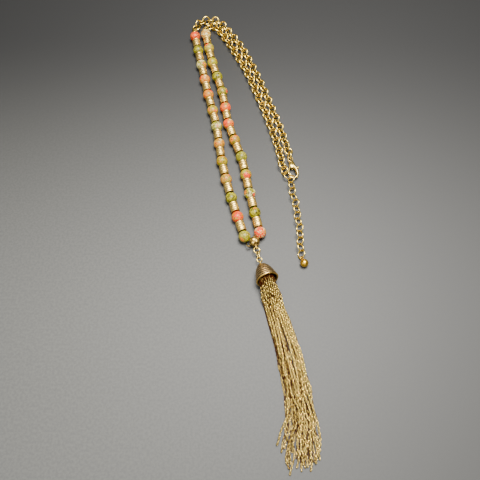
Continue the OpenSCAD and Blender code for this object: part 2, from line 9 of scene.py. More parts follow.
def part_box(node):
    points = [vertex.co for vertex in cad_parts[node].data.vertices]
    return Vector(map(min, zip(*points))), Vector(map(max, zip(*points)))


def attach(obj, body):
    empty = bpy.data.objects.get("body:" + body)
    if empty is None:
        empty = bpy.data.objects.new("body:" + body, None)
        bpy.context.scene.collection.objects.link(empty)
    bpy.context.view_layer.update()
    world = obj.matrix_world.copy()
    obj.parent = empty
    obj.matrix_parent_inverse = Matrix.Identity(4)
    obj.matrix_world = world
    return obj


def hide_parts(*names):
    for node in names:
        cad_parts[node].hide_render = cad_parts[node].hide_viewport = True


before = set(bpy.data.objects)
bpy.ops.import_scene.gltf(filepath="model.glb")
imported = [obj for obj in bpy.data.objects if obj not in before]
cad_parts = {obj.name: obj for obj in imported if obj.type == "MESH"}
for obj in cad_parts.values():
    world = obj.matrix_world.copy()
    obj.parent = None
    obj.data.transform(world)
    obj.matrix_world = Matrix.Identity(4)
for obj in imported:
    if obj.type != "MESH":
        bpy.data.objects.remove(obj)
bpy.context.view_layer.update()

mm = 0.001
upward = np.array([0.0, 0.0, 1.0])
layAt = np.array([-0.23, 0.72, 0.0])  # where the whole necklace is laid, in mm


# Shape helpers. Shapes are (points, faces) and sometimes a shade for each point: how dark its tarnish and
# painted shade are.
# All their sizes are in mm.

def unit(v):
    return v / np.linalg.norm(v)


def heading(degrees):
    return np.array([math.cos(math.radians(degrees)), math.sin(math.radians(degrees)), 0.0])


def smoothPath(points, steps):
    p = np.asarray(points, float)
    out = []
    for i in range(len(p) - 1):
        a, b, c, d = p[max(i - 1, 0)], p[i], p[i + 1], p[min(i + 2, len(p) - 1)]
        for t in np.arange(steps) / steps:
            out.append(0.5 * (2 * b + (c - a) * t + (2 * a - 5 * b + 4 * c - d) * t**2
                              + (3 * b - a - 3 * c + d) * t**3))
    return np.array(out + [p[-1]])


def evenPath(path, step):
    reach = np.concatenate([[0], np.cumsum(np.linalg.norm(np.diff(path, axis=0), axis=1))])
    stops = np.arange(0, reach[-1], step)
    return np.array([np.interp(stops, reach, path[:, k]) for k in range(path.shape[1])]).T


def skin(rows, closed=False):
    # each row is a loop of points; the ends are capped unless the rows close up
    n, m = rows.shape[:2]
    faces = []
    for i in range(n if closed else n - 1):
        a, b = i * m, (i + 1) % n * m
        faces += [[a + k, a + (k + 1) % m, b + (k + 1) % m, b + k] for k in range(m)]
    if not closed:
        faces += [list(range(m))[::-1], [(n - 1) * m + k for k in range(m)]]
    return rows.reshape(-1, 3), faces


def tube(path, widths, sides=12, closed=False):
    # widths: half width and half height at each point, or one number for a round wire
    path = np.asarray(path, float)
    widths = np.broadcast_to(np.asarray(widths, float).reshape(-1, 1) if np.ndim(widths) < 2 else widths,
                             (len(path), 2))
    ahead = np.roll(path, -1, 0) - np.roll(path, 1, 0)
    if not closed:
        ahead[0], ahead[-1] = path[1] - path[0], path[-1] - path[-2]
    turn = np.arange(sides) * 2 * np.pi / sides
    side = np.cross(ahead[0], upward)
    side = np.array([1.0, 0, 0]) if np.linalg.norm(side) < 1e-6 else side
    rows = []
    for point, t, (wide, high) in zip(path, ahead, widths):
        t = unit(t)
        side = unit(side - side @ t * t)
        across = np.outer(wide * np.cos(turn), side)
        rows.append(point + across + np.outer(high * np.sin(turn), np.cross(t, side)))
    return skin(np.array(rows), closed)


def ringShape(diameter, wire, around=36, sides=12, length=None, joint=False):
    # a ring or an oval in the xy plane; a joint is the fine groove where its ends meet
    turn = np.linspace(0, 2 * np.pi, around, endpoint=False)
    half = np.full(around, wire / 2)
    if joint:
        groove = np.radians([0, 1.3, 2.6, 357.4, 358.7])
        turn = np.concatenate([groove[:3], turn[1:], groove[3:]])
        before, after = wire / 2 * np.array([0.8, 0.86, 1]), wire / 2 * np.array([1, 0.86])
        half = np.concatenate([before, half[1:], after])
    long = ((length or diameter) - wire) / 2
    path = np.array([long * np.cos(turn), (diameter - wire) / 2 * np.sin(turn), 0 * turn]).T
    return tube(path, half, sides, closed=True)


def placed(shape, centre, ahead, normal):
    normal = unit(normal)
    ahead = unit(ahead - ahead @ normal * normal)
    return (shape[0] @ np.array([ahead, np.cross(normal, ahead), normal]) + centre, *shape[1:])


def moved(shape, by):
    return (shape[0] + by, *shape[1:])


def lathe(profile, turns, relief):
    # profile: (radius, height) pairs; relief(angle, height, radius) adds to the radius
    angle = np.arange(turns) * 2 * np.pi / turns
    rows = []
    for r, h in profile:
        radius = r + relief(angle, h, r)
        rows.append(np.array([radius * np.cos(angle), radius * np.sin(angle), np.full(turns, h)]).T)
    return np.array(rows)


def makePiece(name, shapes, material, replaced=(), body="necklace"):
    points, faces, shades, start = [], [], [], 0
    for places, around, *shade in shapes:
        points.append(places)
        shades.append(shade[0] if shade else np.zeros(len(places)))
        faces += [[start + i for i in face] for face in around]
        start += len(places)
    mesh = bpy.data.meshes.new(name)
    mesh.from_pydata((np.concatenate(points) * mm).tolist(), [], faces)
    mesh.attributes.new("shade", "FLOAT", "POINT").data.foreach_set("value", np.concatenate(shades))
    mesh.shade_smooth()
    mesh.materials.append(material)
    piece = bpy.data.objects.new(name, mesh)
    bpy.context.scene.collection.objects.link(piece)
    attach(piece, body)
    if replaced:
        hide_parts(*replaced)
    return piece


def nodePoints(node):
    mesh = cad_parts[node].data
    points = np.empty(len(mesh.vertices) * 3)
    mesh.vertices.foreach_get("co", points)
    return points.reshape(-1, 3) / mm


def middle(node):
    low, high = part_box(node)
    return np.array((low + high) / 2) / mm


def ringsOf(node):
    # the centre, long direction and axis of each loose ring of a CAD node, from the lowest y up
    grid = bmesh.new()
    grid.from_mesh(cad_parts[node].data)
    bmesh.ops.remove_doubles(grid, verts=grid.verts, dist=1e-7)
    grid.verts.ensure_lookup_table()
    seen, found = bytearray(len(grid.verts)), []
    for first in range(len(grid.verts)):
        if seen[first]:
            continue
        seen[first], queue, part = 1, [first], []
        while queue:
            vert = grid.verts[queue.pop()]
            part.append(vert.co[:])
            for edge in vert.link_edges:
                other = edge.other_vert(vert).index
                if not seen[other]:
                    seen[other] = 1
                    queue.append(other)
        part = np.array(part) / mm
        axes = np.linalg.svd(part - part.mean(0), full_matrices=False)[2]
        axes = axes * np.where(axes[:, 2:] < 0, -1, 1)
        found.append(((part.min(0) + part.max(0)) / 2, axes[0], axes[2]))
    grid.free()
    return sorted(found, key=lambda ring: ring[0][1])


# Colours and materials

def tone(red, green, blue):
    return tuple((c / 255 / 12.92 if c < 10.3 else ((c / 255 + 0.055) / 1.055) ** 2.4)
                 for c in (red, green, blue)) + (1.0,)


class Nodes:
    # short hand for adding and linking nodes in one tree
    def __init__(self, tree):
        self.tree = tree

    def add(self, kind, values=None, **settings):
        node = self.tree.nodes.new(kind)
        for name, value in settings.items():
            setattr(node, name, value)
        for socket, value in (values or {}).items():
            if isinstance(value, bpy.types.NodeSocket):
                self.tree.links.new(value, node.inputs[socket])
            else:
                node.inputs[socket].default_value = value
        return node

    def math(self, operation, a, b=0.0, clamp=False):
        return self.add("ShaderNodeMath", {0: a, 1: b}, operation=operation, use_clamp=clamp).outputs[0]

    def mix(self, share, a, b, blend="MIX"):
        node = self.add("ShaderNodeMix", {0: share, 6: a, 7: b}, data_type="RGBA", blend_type=blend)
        return node.outputs[2]

    def vector(self, operation, a, b):
        return self.add("ShaderNodeVectorMath", {0: a, 1: b}, operation=operation).outputs[0]

    def span(self, value, low, high, toLow=0.0, toHigh=1.0):
        node = self.add("ShaderNodeMapRange", {0: value, 1: low, 2: high, 3: toLow, 4: toHigh},
                        interpolation_type="SMOOTHSTEP")
        return node.outputs[0]

    def noise(self, place, scale, detail=3.0, rough=0.5):
        return self.add("ShaderNodeTexNoise", {"Vector": place, "Scale": scale, "Detail": detail,
                                               "Roughness": rough})


def newGroup(name, inputs, outputs):
    tree = bpy.data.node_groups.new(name, "ShaderNodeTree")
    for label, kind in inputs:
        tree.interface.new_socket(label, in_out="INPUT", socket_type="NodeSocket" + kind)
    for label, kind in outputs:
        tree.interface.new_socket(label, in_out="OUTPUT", socket_type="NodeSocket" + kind)
    make = Nodes(tree)
    return make, make.add("NodeGroupInput").outputs, make.add("NodeGroupOutput").inputs


def mottledStoneGroup():
    make, given, out = newGroup(
        "mottledStone",
        [("Main", "Color"), ("Second", "Color"), ("Speck", "Color"), ("Shift", "Vector"),
         ("Patch", "Color"), ("Patch place", "Vector"), ("Patch size", "Float"),
         ("Spot", "Color"), ("Spot place", "Vector"), ("Spot size", "Float")],
        [("Colour", "Color"), ("Roughness", "Float"), ("Height", "Float")])
    place = make.vector("MULTIPLY", make.add("ShaderNodeTexCoord").outputs["Object"], (1000, 1000, 1000))
    shifted = make.vector("ADD", place, given["Shift"])
    wander = make.vector("SUBTRACT", make.noise(shifted, 0.7, 2.0).outputs["Color"], (0.5, 0.5, 0.5))
    warped = make.vector("ADD", shifted, make.vector("MULTIPLY", wander, (2.6, 2.6, 2.6)))
    blotch = make.noise(warped, 0.42, 3.0, 0.55).outputs[0]
    colour = make.mix(make.span(blotch, 0.45, 0.55), given["Main"], given["Second"])
    crumbs = make.noise(warped, 0.8, 5.0, 0.6).outputs[0]
    colour = make.mix(make.span(crumbs, 0.53, 0.57), colour, given["Speck"])
    wobble = make.vector("ADD", place, make.vector("MULTIPLY", wander, (3.2, 3.2, 3.2)))
    for label in ("Patch", "Spot"):
        far = make.add("ShaderNodeVectorMath", {0: wobble, 1: given[label + " place"]}, operation="DISTANCE")
        rim = make.math("MULTIPLY", given[label + " size"], 0.82)
        inside = make.add("ShaderNodeMapRange", {0: far.outputs["Value"], 1: given[label + " size"], 2: rim,
                                                 3: 0.0, 4: 1.0}, interpolation_type="SMOOTHSTEP")
        colour = make.mix(make.math("MULTIPLY", inside.outputs[0], 0.92), colour, given[label])
    veins = make.math("ABSOLUTE", make.math("SUBTRACT", make.noise(warped, 0.8, 4.0, 0.6).outputs[0], 0.5))
    colour = make.mix(make.span(veins, 0.0, 0.03, 0.85, 0.0), colour, tone(76, 48, 20))
    grains = make.noise(shifted, 1.9, 3.0, 0.6).outputs[0]
    colour = make.mix(make.span(grains, 0.37, 0.46, 0.8, 0.0), colour, tone(80, 52, 12))
    colour = make.mix(make.span(grains, 0.56, 0.64, 0.0, 0.36), colour, tone(226, 192, 112))
    for label, value in (("Colour", colour), ("Roughness", make.span(grains, 0.35, 0.7, 0.3, 0.42)),
                         ("Height", grains)):
        make.tree.links.new(value, out[label])
    return make.tree


def agedShadedMetalGroup():
    make, given, out = newGroup(
        "agedShadedMetal",
        [("Bright", "Color"), ("Middle", "Color"), ("Tarnish and shade", "Color"), ("Tarnish and shade amount", "Float"),
         ("Grain", "Float"), ("Polish", "Float"), ("Nook reach", "Float")],
        [("Colour", "Color"), ("Roughness", "Float"), ("Height", "Float")])
    place = make.vector("MULTIPLY", make.add("ShaderNodeTexCoord").outputs["Object"], (1000, 1000, 1000))
    cloud = make.noise(place, 0.55, 3.0, 0.6).outputs[0]
    grit = make.noise(place, given["Grain"], 5.0, 0.65).outputs[0]
    # the AO node's darkening in hollows, the darkening of concave spots and the shade attribute are partly
    # tarnish and partly painted shade; cloud and grit add tarnish at random
    nooks = make.add("ShaderNodeAmbientOcclusion", {"Distance": given["Nook reach"]}, samples=6).outputs["AO"]
    edges = make.add("ShaderNodeNewGeometry").outputs["Pointiness"]
    dark = make.math("ADD", make.span(nooks, 0.25, 0.9, 1.0, 0.0), make.span(cloud, 0.42, 0.7, 0.0, 0.45))
    dark = make.math("ADD", dark, make.span(grit, 0.5, 0.72, -0.12, 0.34))
    dark = make.math("ADD", dark, make.span(edges, 0.44, 0.5, 0.3, 0.0))
    dark = make.math("ADD", dark, make.add("ShaderNodeAttribute", attribute_name="shade").outputs["Fac"])
    dark = make.math("MULTIPLY", dark, given["Tarnish and shade amount"], clamp=True)
    colour = make.mix(make.span(grit, 0.35, 0.65), given["Middle"], given["Bright"])
    colour = make.mix(make.span(edges, 0.51, 0.56, 0.0, 0.6), colour, given["Bright"])
    colour = make.mix(dark, colour, given["Tarnish and shade"])
    rough = make.math("ADD", make.math("MULTIPLY", dark, 0.3), given["Polish"])
    rough = make.math("ADD", rough, make.span(grit, 0.3, 0.7, -0.04, 0.08))
    for label, value in (("Colour", colour), ("Roughness", rough), ("Height", grit)):
        make.tree.links.new(value, out[label])
    return make.tree


def finish(name, group, values, metallic, bump, coat=0.0):
    material = bpy.data.materials.new(name)
    material.use_nodes = True
    make = Nodes(material.node_tree)
    shader = material.node_tree.nodes["Principled BSDF"]
    effect = make.add("ShaderNodeGroup", node_tree=group)
    for label, value in values.items():
        effect.inputs[label].default_value = value
    shader.inputs["Metallic"].default_value = metallic
    shader.inputs["Coat Weight"].default_value = coat
    shader.inputs["Coat Roughness"].default_value = 0.2
    shader.inputs["Specular IOR Level"].default_value = 0.25
    relief = make.add("ShaderNodeBump", {"Strength": bump[0], "Distance": bump[1] * mm,
                                         "Height": effect.outputs["Height"]})
    for label, value in (("Base Color", effect.outputs["Colour"]), ("Roughness", effect.outputs["Roughness"]),
                         ("Normal", relief.outputs[0])):
        material.node_tree.links.new(value, shader.inputs[label])
    return material


stoneGroup, metalGroup = mottledStoneGroup(), agedShadedMetalGroup()
# nook: how wide a hollow may be, in mm, that still gathers tarnish and painted shade; bump: strength and
# depth in mm
metals = {
    # the chain's wide nook reach and near-black tarnish and shade colour paint shade into the holes of its
    # links and where they cross
    "chainGold": dict(bright=(250, 218, 104), middle=(232, 194, 84), tarnishAndShade=(20, 13, 3),
                      amount=1.0, grain=1.2, polish=0.27, nook=1.8, bump=(0.12, 0.02)),
    "claspGold": dict(bright=(255, 224, 118), middle=(240, 198, 92), tarnishAndShade=(50, 32, 8),
                      amount=0.8, grain=1.2, polish=0.24, nook=1.0, bump=(0.12, 0.02)),
    "ballGold": dict(bright=(250, 200, 66), middle=(230, 174, 44), tarnishAndShade=(80, 52, 12),
                     amount=0.35, grain=1.2, polish=0.3, nook=1.0, bump=(0.1, 0.02)),
    "castChampagne": dict(bright=(255, 224, 126), middle=(244, 198, 98), tarnishAndShade=(60, 34, 8),
                          amount=1.0, grain=1.7, polish=0.37, nook=0.7, bump=(0.45, 0.05)),
    "capBrass": dict(bright=(238, 200, 132), middle=(154, 122, 76), tarnishAndShade=(14, 9, 5),
                     amount=1.0, grain=2.0, polish=0.3, nook=0.5, bump=(0.25, 0.03)),
    "rimBrass": dict(bright=(250, 206, 104), middle=(220, 170, 76), tarnishAndShade=(50, 34, 14),
                     amount=0.8, grain=1.6, polish=0.26, nook=0.6, bump=(0.15, 0.02)),
    "tasselGold": dict(bright=(255, 228, 126), middle=(255, 204, 86), tarnishAndShade=(64, 24, 8),
                       amount=1.0, grain=1.4, polish=0.21, nook=0.55, bump=(0.1, 0.01)),
}
metal = {}
for name, look in metals.items():
    values = {"Bright": tone(*look["bright"]), "Middle": tone(*look["middle"]),
              "Tarnish and shade": tone(*look["tarnishAndShade"]), "Tarnish and shade amount": look["amount"],
              "Grain": look["grain"], "Polish": look["polish"], "Nook reach": look["nook"] * mm}
    metal[name] = finish(name, metalGroup, values, 1.0, look["bump"])
print("metals done")

# Stones: main and second colour, specks, then a larger patch and a smaller spot. Each of those has a
# colour, the way it faces (to the right, away from the tassel, up) and a size in mm.
coral, salmon, peach, rust = (230, 36, 0), (228, 78, 6), (208, 122, 26), (112, 30, 0)
tan, amber, ochre, bone = (180, 128, 40), (212, 110, 0), (176, 128, 6), (226, 212, 144)
olive, leaf, sage, moss = (104, 106, 0), (152, 148, 2), (142, 140, 48), (42, 48, 2)
nothing = (tan, (0, 0, -1), 0.0)
leftLooks = {
    13: (coral, salmon, rust, nothing, nothing),
    12: (olive, leaf, moss, (sage, (0.2, 0.7, 0.7), 1.4), nothing),
    11: (leaf, bone, olive, (amber, (0.7, -0.5, 0.5), 1.7), (salmon, (-0.3, 0.6, 0.7), 0.9)),
    10: (peach, amber, tan, (coral, (-0.7, 0.1, 0.7), 1.2), (bone, (0.2, 0.2, 1.0), 0.9)),
    9: (peach, ochre, amber, (coral, (0.5, 0.6, 0.6), 1.3), (coral, (-0.6, -0.6, 0.5), 0.9)),
    8: (leaf, ochre, tan, (amber, (-0.6, -0.3, 0.7), 1.3), (coral, (0.6, -0.5, 0.6), 0.7)),
    7: (sage, bone, olive, (leaf, (-0.6, 0.5, 0.6), 1.6), (amber, (0.2, -0.4, 0.9), 0.8)),
    6: (tan, ochre, peach, (salmon, (-0.6, -0.3, 0.7), 1.0), (bone, (0.3, 0.3, 0.9), 0.9)),
    5: (leaf, ochre, olive, (peach, (0.1, 0.75, 0.65), 1.6), nothing),
    4: (tan, sage, peach, (salmon, (0.6, 0.5, 0.6), 1.1), (coral, (-0.4, 0.6, 0.7), 0.6)),
    3: (olive, leaf, moss, (leaf, (0.3, 0.4, 0.85), 1.3), nothing),
    2: (coral, salmon, leaf, (coral, (0.2, 0.3, 0.9), 1.7), nothing),
    1: (leaf, sage, olive, ((84, 50, 22), (0.66, 0.2, 0.72), 0.85), (amber, (-0.5, -0.75, 0.4), 1.2)),
}
rightLooks = {
    13: (tan, ochre, bone, nothing, nothing),
    12: (tan, sage, leaf, (coral, (-0.5, 0.4, 0.77), 1.7), nothing),
    11: (leaf, ochre, sage, (leaf, (0.2, 0.3, 0.9), 1.6), nothing),
    # the sage patch near the top of this stone is a painted highlight
    10: (olive, leaf, moss, (sage, (0.2, 0.5, 0.8), 1.2), nothing),
    9: (tan, olive, sage, (coral, (0.85, -0.2, 0.5), 1.0), nothing),
    8: (salmon, peach, coral, (sage, (0.1, 0.1, 1.0), 1.1), (coral, (0.6, 0.4, 0.7), 1.0)),
    7: (salmon, tan, peach, (coral, (-0.55, -0.35, 0.75), 1.6), (bone, (0.4, 0.3, 0.85), 0.8)),
    6: (ochre, olive, tan, (salmon, (0.2, 0.35, 0.9), 0.9), (amber, (-0.6, -0.4, 0.7), 1.3)),
    5: (leaf, olive, sage, (sage, (0.2, 0.2, 0.95), 1.2), nothing),
    4: (leaf, ochre, sage, (coral, (0.25, -0.72, 0.64), 2.1), nothing),
    3: (bone, leaf, moss, (amber, (-0.8, -0.1, 0.6), 1.4), (coral, (0.7, -0.55, 0.45), 1.1)),
    2: (olive, leaf, moss, (amber, (0.1, 0.4, 0.9), 1.0), (leaf, (-0.4, -0.4, 0.8), 1.4)),
    1: (coral, salmon, bone, (tan, (0.85, -0.1, 0.5), 1.2), (leaf, (0.1, -0.3, 0.95), 0.5)),
}
stone = {"size": 6.0, "bump": (0.08, 0.03), "coat": 0.06}
for side, looks in (("left", leftLooks), ("right", rightLooks)):
    for number, (main, second, speck, patch, spot) in looks.items():
        node = f"{side}_stone_{number:02d}"
        centre = middle(node)
        shift = number * np.array([7.3, 3.1 if side == "left" else -4.7, 11.0])  # no two are mottled alike
        values = {"Main": tone(*main), "Second": tone(*second), "Speck": tone(*speck), "Shift": tuple(shift)}
        for label, (colour, way, size) in (("Patch", patch), ("Spot", spot)):
            values[label] = tone(*colour)
            values[label + " place"] = tuple(centre + stone["size"] / 2 * unit(np.array(way, float)))
            values[label + " size"] = size
        material = finish(f"{side}Stone{number:02d}", stoneGroup, values, 0.0, stone["bump"], stone["coat"])
        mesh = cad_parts[node].data
        mesh.materials.clear()
        mesh.materials.append(material)
print("stones done")

# Spacers: cast barrels with a rim at each end and uneven bands between
spacer = {"length": 5.1, "width": 4.4, "bore": 1.2, "rim": 0.5, "rimHeight": 0.12, "groove": 0.08,
          "bands": [-1.05, 0.0, 1.05], "bandWidth": 0.42, "bandHeight": 0.12, "turns": 72, "rows": 61}


def spacerShape(seed):
    half, top, shift = spacer["length"] / 2, spacer["width"] / 2, seed * 1.7

    def outer(h):
        edge = half - abs(h)
        if edge < spacer["rim"]:
            return top - spacer["rimHeight"] * ((edge - spacer["rim"] / 2) / (spacer["rim"] / 2)) ** 2
        return top - spacer["groove"]

    def relief(angle, h, r):
        if r < top - 0.9:  # the bore and the end faces are plain
            return 0 * angle
        waves = 0.035 * np.sin(2 * angle + shift + 0.8 * h) + 0.025 * np.sin(5 * angle - 2.3 * h + 2 * shift)
        if half - abs(h) < spacer["rim"]:
            return 0.4 * waves
        for k, band in enumerate(spacer["bands"]):
            mid = band + 0.09 * np.sin(2 * angle + shift + k) + 0.05 * np.sin(5 * angle + 3 * k)
            off = np.clip(np.abs(h - mid) / spacer["bandWidth"], 0, 1)
            patchy = 0.75 + 0.25 * np.sin(7 * angle + 1.3 * shift + 2.1 * k)
            waves = waves + spacer["bandHeight"] * patchy * np.sqrt(1 - off**2)
        return waves

    # painted shade: dark at each end where the spacer meets a stone and in the groove inside each rim; darker
    # between the bands (tarnish and painted shade) and lighter on them
    def shade(h):
        edge = half - abs(h)
        if edge < spacer["rim"]:
            return 0.8 * abs(edge / spacer["rim"] * 2 - 1) ** 3 - 0.3
        offBand = min(abs(h - band) for band in spacer["bands"]) / spacer["bandWidth"]
        return -0.3 + 0.6 * min(offBand, 1) ** 3

    heights = np.linspace(-half, half, spacer["rows"])
    profile = [(spacer["bore"] / 2, -half + 0.2), (spacer["bore"] / 2 + 0.15, -half)]
    profile += [(outer(h), h) for h in heights]
    profile += [(spacer["bore"] / 2 + 0.15, half), (spacer["bore"] / 2, half - 0.2)]
    # the bore and the end faces against the stones are fully dark as painted shade
    shades = np.repeat([1, 1, *map(shade, heights), 1, 1], spacer["turns"])
    return (*skin(lathe(profile, spacer["turns"], relief), closed=True), shades)


stones = {side: np.array([middle(f"{side}_stone_{i:02d}") for i in range(1, 14)])
          for side in ("left", "right")}
for side, run in stones.items():
    shapes = [placed(spacerShape(i + (0.5 if side == "right" else 0)), (run[i] + run[i + 1]) / 2,
                     heading(37 * i) + 0.3 * upward, run[i + 1] - run[i]) for i in range(12)]
    makePiece(f"{side}CastSpacers", shapes, metal["castChampagne"], [f"{side}_spacers"])
print("spacers done")

# Junction bead: a cast nugget with grains, and its hanging loop
nugget = {"at": np.array([5.1, -24.7, 2.85]) + layAt, "size": 5.0, "grains": 16, "grainAngle": 0.37,
          "grainHeight": 0.28, "swell": 0.09, "pitDepth": 0.16, "loop": 0.85, "loopAlong": 3.05, "wire": 0.5}
dropWay = unit(middle("drop_ring") - nugget["at"])


def nuggetShape():
    grid = bmesh.new()
    bmesh.ops.create_icosphere(grid, subdivisions=6, radius=1.0)
    points = np.array([v.co[:] for v in grid.verts])
    faces = [[v.index for v in f.verts] for f in grid.faces]
    grid.free()
    golden = np.pi * (3 - np.sqrt(5))
    radius, pits = np.full(len(points), nugget["size"] / 2), np.ones(len(points))
    for i, p in enumerate(points):
        spot = Vector(p) * 1.9
        pit = max(0.0, noise.noise(spot * 2.3 + Vector((5, 1, 2))) - 0.12)
        radius[i] += nugget["swell"] * noise.noise(spot) - nugget["pitDepth"] * pit
    for k in range(nugget["grains"]):
        z = 1 - 2 * (k + 0.5) / nugget["grains"]
        flat = math.sqrt(1 - z * z)
        way = np.array([flat * math.cos(golden * k), flat * math.sin(golden * k), z])
        off = np.arccos(np.clip(points @ way, -1, 1)) / nugget["grainAngle"]
        radius += nugget["grainHeight"] * np.sqrt(np.clip(1 - off**2, 0, 1)) * (0.7 + 0.3 * math.sin(5 * k))
        pits = np.minimum(pits, np.clip(off, 0, 1) ** 3)
    # the shade darkens the hollows between the grains (tarnish and painted shade) and lightens the grain tops
    return points * radius[:, None], faces, 1.25 * pits - 0.45


across = unit(np.cross(dropWay, upward))
loop = placed(ringShape(2 * nugget["loop"] + nugget["wire"], nugget["wire"]),
              nugget["at"] + nugget["loopAlong"] * dropWay, dropWay, across)
makePiece("castJunctionBead", [placed(nuggetShape(), nugget["at"], dropWay, across), loop],
          metal["castChampagne"], ["junction_bead"])

# Chains and rings: round wire with a fine joint, each where its CAD ring is
chains = {
    "leftNeckChain": dict(node="left_chain", size=5.2, wire=0.9, around=36, sides=14),
    "rightNeckChain": dict(node="right_chain", size=5.2, wire=0.9, around=36, sides=14),
    "extenderLinks": dict(node="extender_chain", size=4.8, wire=0.7, around=36, sides=12),
    "hangingRing": dict(node="drop_ring", size=3.8, wire=0.7, around=48, sides=16),
    "capTopRing": dict(node="cap_ring", size=3.0, wire=0.5, around=48, sides=14),
    "chainEndRing": dict(node="end_ring", size=5.4, wire=0.7, around=56, sides=16),
}
rng = np.random.default_rng(11)
for name, ring in chains.items():
    shape = ringShape(ring["size"], ring["wire"], ring["around"], ring["sides"], joint=True)
    shapes = [placed(shape, centre, rng.normal(size=3), axis)
              for centre, long, axis in ringsOf(ring["node"])]
    makePiece(name, shapes, metal["chainGold"], [ring["node"]])

ovalLink = {"length": 4.2, "width": 2.4, "wire": 0.5, "steps": 14}
centre, long, axis = ringsOf("drop_link")[0]
bend = (ovalLink["width"] - ovalLink["wire"]) / 2
straight = (ovalLink["length"] - ovalLink["width"]) / 2
turn = np.radians(np.linspace(-90, 90, ovalLink["steps"]))
half = np.array([straight + bend * np.cos(turn), bend * np.sin(turn), 0 * turn]).T
oval = tube(np.concatenate([half, half * [-1, -1, 1]]), ovalLink["wire"] / 2, 14, closed=True)
makePiece("hangingOvalLink", [placed(oval, centre, long, axis)], metal["chainGold"],
          ["drop_link"])
print("chains done")

# Beading wires with their top loops, and the crimps
wire = {"width": 0.5, "exit": 0.4, "loop": 1.1, "crimp": 1.9, "crimpWidth": 2.1, "lowerCrimpWidth": 1.4,
        "lowerCrimpShare": 0.7, "play": 0.12, "turn": {"left": 45, "right": 70},
        "sides": 12, "shadedRings": 30,
        "tail": {"left": [[1.2, -25.9], [1.7, -27.2], [2.9, -27.1]], "right": [[8, -23.5], [7.4, -23.9]]}}


def wireTail(side):
    return np.array([[x, y, nugget["at"][2]] for x, y in wire["tail"][side]]) + layAt


def crimpShape(width, length):
    angle = np.arange(40) * 2 * np.pi / 40
    slit = 1 - 0.1 * np.exp(-((angle - np.pi) / 0.12) ** 2)  # where the crimp was rolled shut
    rows = []
    for share in np.linspace(-1, 1, 17):
        r = width / 2 * (1 - 0.3 * share**4) * slit
        rows.append(np.array([r * np.cos(angle), r * np.sin(angle), 0 * angle + share * length / 2]).T)
    bore = (wire["width"] + 0.4) / 2
    inner = [np.array([bore * np.cos(angle), bore * np.sin(angle), 0 * angle + z]).T
             for z in (length / 2, -length / 2)]
    return skin(np.array(rows + inner), closed=True)


for side, run in stones.items():
    ways = [unit(run[min(i + 1, 12)] - run[max(i - 1, 0)]) for i in range(13)]
    tail = wireTail(side)
    start = nugget["at"] + nugget["size"] / 5 * unit(tail[-1] - nugget["at"])
    path = list(smoothPath([start, *tail[::-1], run[0] - stone["size"] / 2 * ways[0]], 6)[:-1])
    for i in range(13):
        path += [run[i] - stone["size"] / 2 * ways[i], run[i] + stone["size"] / 2 * ways[i]]
        if i < 12:
            mid, way = (run[i] + run[i + 1]) / 2, unit(run[i + 1] - run[i])
            path += [mid - spacer["length"] / 2 * way, mid + spacer["length"] / 2 * way]
    crimpAt = run[12] + (stone["size"] / 2 + wire["play"] + wire["crimp"] / 2) * ways[12]
    topAngle = math.degrees(math.atan2(ways[12][1], ways[12][0])) - wire["turn"][side]
    loopAt = (crimpAt + (wire["crimp"] / 2 + wire["exit"]) * ways[12]
              + (wire["loop"] + wire["width"] / 2) * heading(topAngle) - [0, 0, wire["loop"]])
    path += [crimpAt - wire["crimp"] / 2 * ways[12], crimpAt + (wire["crimp"] / 2 + wire["exit"]) * ways[12]]
    path += [loopAt + wire["loop"] * (math.cos(a) * heading(topAngle) + math.sin(a) * upward)
             for a in np.radians(np.arange(90, -191, -14))]
    points, faces = tube(path, wire["width"] / 2, wire["sides"])
    # painted shade on the tail beside the junction, which lies in shadow there
    toneAndShade = 0.9 * (np.arange(len(points)) < wire["sides"] * wire["shadedRings"])  # the tail beside the junction
    makePiece(f"{side}BeadingWire", [(points, faces, toneAndShade)], metal["chainGold"],
              [f"{side}_wire"])
    shapes = [placed(crimpShape(wire["crimpWidth"], wire["crimp"]), crimpAt, upward, ways[12])]
    makePiece(f"{side}RolledCrimp", shapes, metal["chainGold"], [f"{side}_crimp"])
tail = wireTail("left")
lowerCrimp = crimpShape(wire["lowerCrimpWidth"], wire["lowerCrimpShare"] * np.linalg.norm(tail[2] - tail[1]))
lowerCrimp = placed(lowerCrimp, (tail[1] + tail[2]) / 2, upward, tail[2] - tail[1])
# the lower crimp is darkened all over as painted shade
makePiece("lowerRolledCrimp", [(*lowerCrimp, np.full(len(lowerCrimp[0]), 0.8))], metal["capBrass"],
          ["lower_crimp"])
print("wires and crimps done")

# Tassel cap: a bell of fine rings with a rolled rim, hollow inside
cap = {"size": 11.0, "height": 9.5, "wall": 0.7, "hole": 0.9, "rim": 0.8, "pitch": 15.5, "turn": -72,
       "rings": 6, "ringHeight": 0.34, "turns": 120, "rows": 150}
capPitch = math.radians(cap["pitch"])
capAxis = heading(cap["turn"]) * math.cos(capPitch) + upward * math.sin(capPitch)
capSide = np.cross(upward, heading(cap["turn"]))
capLift = np.cross(capAxis, capSide)
spots = nodePoints("tassel_cap")
capTop = capAxis * (spots @ capAxis).min()
for way in (capSide, capLift):
    reach = spots @ way
    capTop = capTop + way * (reach.min() + reach.max()) / 2
bell = smoothPath([[0, 0.2], [0.06, 0.34], [0.16, 0.5], [0.3, 0.65], [0.46, 0.77],
                   [0.62, 0.86], [0.78, 0.93], [0.9, 0.985], [1, 1]], 6)


def capPoint(depth, r, angle):
    a = math.radians(angle)
    return capTop + depth * capAxis + r * (math.cos(a) * capSide - math.sin(a) * capLift)


